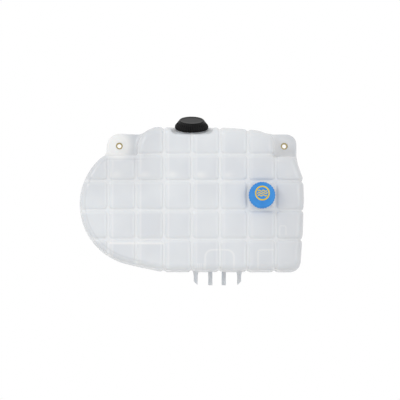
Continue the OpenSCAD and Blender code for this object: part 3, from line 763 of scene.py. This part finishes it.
def side_shade(x, z):
    """Painted shade towards the right side and the upper left, and a painted dark line inside the left rim,
    0 to 1.
    """
    right = fade(x, 60, 240) ** 1.3
    upper_left = fade(x, -100, -60) * fade(z, -150, 60) * (1 - near_spot(x, z, *ON_LEFT_LUG))
    inside_rim = trace(outline_distance(LOWER, x, z) + 14.5, 1.8) * fade(x, -150, -30)
    return np.clip(0.42 * right + 0.2 * upper_left + 0.3 * inside_rim, 0, 1)


def open_skin(points, faces):
    """Leaves out the flat faces on the weld plane, apart from those along the outline."""
    flat = points[:, 1] < 0.3
    edge = np.abs(outline_union(points[:, 0], points[:, 2])) < 4
    faces = faces[~(flat[faces].all(1) & ~edge[faces].any(1))]
    used = np.unique(faces)
    place = np.full(len(points), -1)
    place[used] = np.arange(len(used))
    return points[used], place[faces]


def half_shell(name, node, rear):
    """One outer skin of the tank, open at the weld plane where the other half meets it."""
    xs = sample_places(*SKIN_X, SKIN_STEP)
    zs = sample_places(FINGER_END - 4 if rear else BOTTOM_Z - 6, SKIN_TOP, SKIN_STEP)
    ds = sample_places(*SKIN_DEPTH, DEPTH_STEP, FINE_DEPTHS)
    x, d, z = np.meshgrid(xs, ds, zs, indexing="ij")
    field = np.stack([shell_field(x[:, k], d[:, k], z[:, k], rear) for k in range(len(ds))], 1)
    points, faces = surface_net(field, xs, ds, zs)
    for _ in range(2):
        points = settle(points, rear)
    points[:, 1] = np.maximum(points[:, 1], WELD_FACE)
    points, faces = open_skin(points, faces)
    x, z = points[:, 0], points[:, 2]
    # Painted light on the rim and lugs; on the front, the see-through forms and painted highlights too
    see_through_and_painted_light = painted_light_marks(x, z)
    if not rear:
        see_through_and_painted_light = np.maximum(see_through_and_painted_light, see_through_forms_and_highlights(x, z) * fade(points[:, 1], 50, 30))
    # Quilt lines with painted light on their borders, and painted shade to the sides and the upper left
    marks = {
        "quilt_line_and_border_light": groove_depth(x, z) ** BORDER_LIGHT_SPREAD * (1 - 0.8 * near_spot(x, z, *NEAR_LEFT_LUG)),
        "see_through_and_painted_light": see_through_and_painted_light,
        "shade": side_shade(x, z),
    }
    if not rear:
        points = points * np.array([1, -1, 1])
        faces = faces[:, ::-1]
    piece = make_piece(name, points, faces, TANK_MARKED, "tank", marks=marks)
    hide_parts(node)


half_shell("front_shell_skin", "front_shell", rear=False)
half_shell("rear_shell_skin", "rear_shell", rear=True)


# Both screw caps. A profile runs from the middle of the top round the foot to the middle inside

CAP_SHARP = 50
THREAD_SHARP = 40


def add_cap(name, node, profile, steps, flutes, place, material):
    """A fluted cap that stands for the CAD's, on the body of the same name."""
    points, faces = spun(profile, steps, flutes)
    cap = make_piece(name, place(points), [face[::-1] for face in faces], material, node, CAP_SHARP)
    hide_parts(node)


def add_thread(name, place, material, body, slot, *sizes):
    points, faces = thread(*sizes)
    make_piece(name, place(points), faces, material, body, THREAD_SHARP)


# Black filler cap: a fluted cone over an upright skirt, with a shallow dished top

FILLER_CAP_TOP_R = 35.0
FILLER_FLUTES = 40
FILLER_FLUTE_DEPTH = 3.2
FLUTE_TOP = 19.5
CAP_BORE_R = 38.5
FILLER_PITCH = 8.0


def filler_flutes(radius, height, turn):
    depth = FILLER_FLUTE_DEPTH * fade(radius, FILLER_CAP_TOP_R - 0.5, 3) * fade(height, 1.2, 1.5)
    outside = (radius > CAP_BORE_R + 1.2) | (height > FLUTE_TOP)
    groove = 0.5 - 0.5 * math.cos(FILLER_FLUTES * turn)
    return radius - np.where(outside, depth, 0) * groove ** 1.5


filler_cap_profile = [
    (0, 22.0), (20, 22.0), (29.5, 22.0), (31, 22.3), (31.8, 22.9), (33, 23.0), (34.2, 22.7), (35.2, 21.8),
    (37.5, 18.6), (40.2, 15.0), (43.2, 11.0), (45.8, 8.0), (46.9, 6.4), (47.4, 4.6), (47.5, 2.8),
    (47.5, 1.0), (47.2, 0.2), (46.4, 0.0), (39.5, 0.0), (38.6, 0.8), (38.5, 2.0), (38.5, 16.5),
    (34.6, 16.56), (34.5, 19.05), (20, 19.05), (0, 19.05),
]
add_cap(
    "filler_cap_moulding", "filler_cap", filler_cap_profile, 360, filler_flutes, on_filler,
    BLACK
)
add_thread(
    "filler_cap_thread", on_filler, BLACK, "filler_cap", "black_plastic",
    CAP_BORE_R + 0.2, CAP_BORE_R - 1.9, 2.6, 13.5, FILLER_PITCH, math.pi, 2.6
)
add_thread(
    "filler_neck_thread", on_filler, TANK, "tank", "tank_plastic",
    FILLER_NECK_R - 0.2, FILLER_NECK_R + 1.9, 1.6, 14.0, FILLER_PITCH, 0, 2.6
)


# Blue pressure cap: a flat face with a bevelled edge over a fluted side

PRESSURE_CAP_Z = 94.5
PRESSURE_CAP_H = 22.0
PRESSURE_FLUTES = 30
PRESSURE_FLUTE_DEPTH = 1.1
PRESSURE_PITCH = 6.0
PRESSURE_BORE_R = 32.5


def on_pressure_cap(points):
    """Places points whose heights are counted from the foot of the pressure cap."""
    return on_pressure(np.asarray(points) + np.array([0, 0, PRESSURE_CAP_Z]))


def pressure_flutes(radius, height, turn):
    depth = PRESSURE_FLUTE_DEPTH * fade(height, PRESSURE_CAP_H - 2.4, -1.5) * (radius > PRESSURE_BORE_R + 2)
    return radius - depth * (0.5 - 0.5 * math.cos(PRESSURE_FLUTES * turn))


pressure_cap_profile = [
    (0, 21.6), (28, 21.6), (28.8, 21.7), (29.4, 22.0), (31.4, 22.0), (33.4, 21.6), (35.2, 20.7),
    (36.6, 19.2), (37.5, 17.2), (37.9, 15.0), (38, 12.6), (38, 8.0), (38, 1.2), (37.6, 0.3), (37, 0),
    (33.4, 0), (32.6, 0.7), (32.5, 1.6), (32.5, 18.6), (20, 18.6), (0, 18.6),
]
add_cap(
    "pressure_cap_moulding", "pressure_cap", pressure_cap_profile, 300, pressure_flutes, on_pressure_cap,
    BLUE
)
add_thread(
    "pressure_cap_thread", on_pressure_cap, BLUE, "pressure_cap", "blue_plastic",
    PRESSURE_BORE_R + 0.2, PRESSURE_BORE_R - 1.8, 2.0, 12.5, PRESSURE_PITCH, math.pi, 2.0
)
add_thread(
    "pressure_neck_thread", on_pressure_cap, TANK, "tank", "tank_plastic",
    PRESSURE_NECK_R - 0.2, PRESSURE_NECK_R + 1.8, 2.0, 13.0, PRESSURE_PITCH, 0, 2.0
)


# The two valve springs

VALVE_SPRING_LOW = 65.85
VALVE_SPRING_HIGH = 104.05
VACUUM_SPRING_HIGH = 72.7
WIRE_SHARP = 60


def valve_spring(name, node, body, sizes):
    """A spring of (outer radius, wire, low end, high end, turns)."""
    outer_r, wire, low, high, turns = sizes
    points, faces = coil(outer_r, wire, low, high, turns)
    spring = make_piece(name, on_pressure(points), faces, STEEL, body, WIRE_SHARP)
    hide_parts(node)
    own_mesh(spring)


valve_spring(
    "pressure_spring_wire", "pressure_valve_spring", "valve_insert",
    (14.0, 2.2, VALVE_SPRING_LOW, VALVE_SPRING_HIGH, 5)
)
valve_spring(
    "vacuum_spring_wire", "vacuum_valve_spring", "pressure_valve",
    (3.6, 0.7, VALVE_SPRING_LOW, VACUUM_SPRING_HIGH, 4)
)


# The printed mark is a plain ring round three level waves

MARK_R = 19.0
MARK_HALF_W = 1.9
MARK_OFFSET = (0.6, 5.4)
PRINT_FOOT = PRESSURE_CAP_H - 0.4
PRINT_LOW = 0.02
PRINT_HIGH = 0.22
WAVE_LEVELS = (-6.5, 0.0, 6.5)
WAVE_MARGIN = 4.5
WAVE_HEIGHT = 1.7
WAVE_LENGTH = 12.0
WAVE_HALF_W = 1.3
WAVE_STEPS = 49


def add_mark(name, points, faces):
    placed = on_pressure(np.asarray(points) + [*MARK_OFFSET, PRESSURE_CAP_Z + PRINT_FOOT])
    make_piece(name, placed, faces, YELLOW, "pressure_cap", THREAD_SHARP)


inner, outer = MARK_R - MARK_HALF_W, MARK_R + MARK_HALF_W
ring_profile = [(inner, PRINT_LOW), (outer, PRINT_LOW), (outer, PRINT_HIGH), (inner, PRINT_HIGH)]
add_mark("mark_ring", *spun_ring(ring_profile, 128))
for number, level in enumerate(WAVE_LEVELS):
    reach = math.sqrt((MARK_R - WAVE_MARGIN) ** 2 - level ** 2)
    along = np.linspace(-reach, reach, WAVE_STEPS)
    rise = level + WAVE_HEIGHT * np.sin(along * 2 * math.pi / WAVE_LENGTH)
    centres = np.stack([along, rise, np.full(WAVE_STEPS, (PRINT_LOW + PRINT_HIGH) / 2)], 1)
    tangents = np.gradient(centres, axis=0)
    tangents /= np.linalg.norm(tangents, axis=1, keepdims=True)
    sides = np.stack([-tangents[:, 1], tangents[:, 0], np.zeros(WAVE_STEPS)], 1)
    ups = np.tile([0, 0, 1.0], (WAVE_STEPS, 1))
    bar = swept(centres, ups, sides, WAVE_HALF_W, (PRINT_HIGH - PRINT_LOW) / 2)
    add_mark(f"mark_wave_{number + 1}", *bar)


# The CAD pieces that are shown as they are

dress(TANK, "filler_neck", "pressure_neck", "outlet_stub", "vent_nipples")
dress(RUBBER, "filler_cap_seal", "housing_o_ring", "pressure_valve_seal", "vacuum_valve_seal", "sensor_seal")
dress(GREY, "valve_housing", "valve_housing_cover", "level_sensor")
dress(STEEL, "pressure_valve", "vacuum_spring_keeper", "float_clip")
dress(BRASS, "vacuum_valve")
dress(PASSIVATED, "left_bush", "right_bush")
dress(WHITE, "sensor_nut", "level_float")


# Camera: level with the tank's lower half, a little to its left, through a long lens

CAMERA_DISTANCE = 12.0
VIEW_WIDTH = 1.136
AZIMUTH = math.radians(-1.5)
ELEVATION = math.radians(-2.5)
AIM = Vector((-0.0050, 0, -0.1525))

camera_data = bpy.data.cameras.new("camera")
camera_data.lens = camera_data.sensor_width * CAMERA_DISTANCE / VIEW_WIDTH
camera = bpy.data.objects.new("camera", camera_data)
bpy.context.scene.collection.objects.link(camera)
camera.location = AIM + CAMERA_DISTANCE * Vector((
    math.sin(AZIMUTH) * math.cos(ELEVATION), -math.cos(AZIMUTH) * math.cos(ELEVATION), math.sin(ELEVATION)
))
camera.rotation_euler = (math.pi / 2 - ELEVATION, 0, AZIMUTH)
bpy.context.scene.camera = camera


# Soft studio light: a key from the upper left and a broad fill from the right

def area_light(name, place, size, power):
    """A square lamp that faces the tank."""
    data = bpy.data.lights.new(name, "AREA")
    data.size = size
    data.energy = power
    lamp = bpy.data.objects.new(name, data)
    bpy.context.scene.collection.objects.link(lamp)
    lamp.location = place
    lamp.rotation_euler = (AIM - Vector(place)).to_track_quat("-Z", "Y").to_euler()


area_light("key_light", (-2.8, -2.6, 1.6), size=1.2, power=31)
area_light("left_light", (-2.2, -3.4, -1.0), size=0.5, power=9)
area_light("fill_light", (2.6, -3.4, 0.2), size=2.2, power=24)


# White backdrop: the world and the floor are plain white to the camera, to mirrors and to glass

WORLD_LIGHT = 0.74
FLOOR_Z = -0.85
FLOOR_HALF = 9.0
FLOOR_DARK = (0.82, 0.82, 0.82)
FLOOR_LIGHT = (0.86, 0.86, 0.86)
FLOOR_GLOW = 1.02
FLOOR_GLOW_SHARE = 0.97


def seen_directly(tree):
    """1 for rays from the camera, from a glossy surface or through glass, else 0."""
    path = tree.nodes.new("ShaderNodeLightPath")
    seen = path.outputs["Is Camera Ray"]
    for kind in ("Is Glossy Ray", "Is Transmission Ray"):
        either = tree.nodes.new("ShaderNodeMath")
        either.operation = "MAXIMUM"
        tree.links.new(seen, either.inputs[0])
        tree.links.new(path.outputs[kind], either.inputs[1])
        seen = either.outputs[0]
    return seen


def mix_shaders(tree, factor, first, second):
    mix = tree.nodes.new("ShaderNodeMixShader")
    tree.links.new(factor, mix.inputs["Fac"])
    tree.links.new(first, mix.inputs[1])
    tree.links.new(second, mix.inputs[2])
    return mix.outputs[0]


def background(tree, strength):
    made = tree.nodes.new("ShaderNodeBackground")
    made.inputs["Color"].default_value = (1, 1, 1, 1)
    made.inputs["Strength"].default_value = strength
    return made.outputs[0]


world = bpy.data.worlds.new("studio")
world.use_nodes = True
bpy.context.scene.world = world
tree = world.node_tree
tree.nodes.clear()
output = tree.nodes.new("ShaderNodeOutputWorld")
sky = mix_shaders(tree, seen_directly(tree), background(tree, WORLD_LIGHT), background(tree, 1.0))
tree.links.new(sky, output.inputs["Surface"])

floor_mesh = bpy.data.meshes.new("floor")
corners = [(x * FLOOR_HALF, y * FLOOR_HALF, FLOOR_Z) for x, y in ((-1, -1), (1, -1), (1, 1), (-1, 1))]
floor_mesh.from_pydata(corners, [], [(0, 1, 2, 3)])
floor_material, tree, shader = new_material("pale_floor")
floor_colour = ramp(tree, noise(tree, 3.0), 0.3, FLOOR_DARK, 0.7, FLOOR_LIGHT)
tree.links.new(floor_colour, shader.inputs["Base Color"])
shader.inputs["Roughness"].default_value = 0.8
glow = tree.nodes.new("ShaderNodeEmission")
glow.inputs["Color"].default_value = (1, 1, 1, 1)
glow.inputs["Strength"].default_value = FLOOR_GLOW
share = tree.nodes.new("ShaderNodeMath")
share.operation = "MULTIPLY"
share.inputs[1].default_value = FLOOR_GLOW_SHARE
tree.links.new(seen_directly(tree), share.inputs[0])
surface = mix_shaders(tree, share.outputs[0], shader.outputs[0], glow.outputs[0])
tree.links.new(surface, tree.nodes["Material Output"].inputs["Surface"])
floor_mesh.materials.append(floor_material)
floor = bpy.data.objects.new("floor", floor_mesh)
bpy.context.scene.collection.objects.link(floor)

bpy.context.scene.view_settings.view_transform = "Standard"
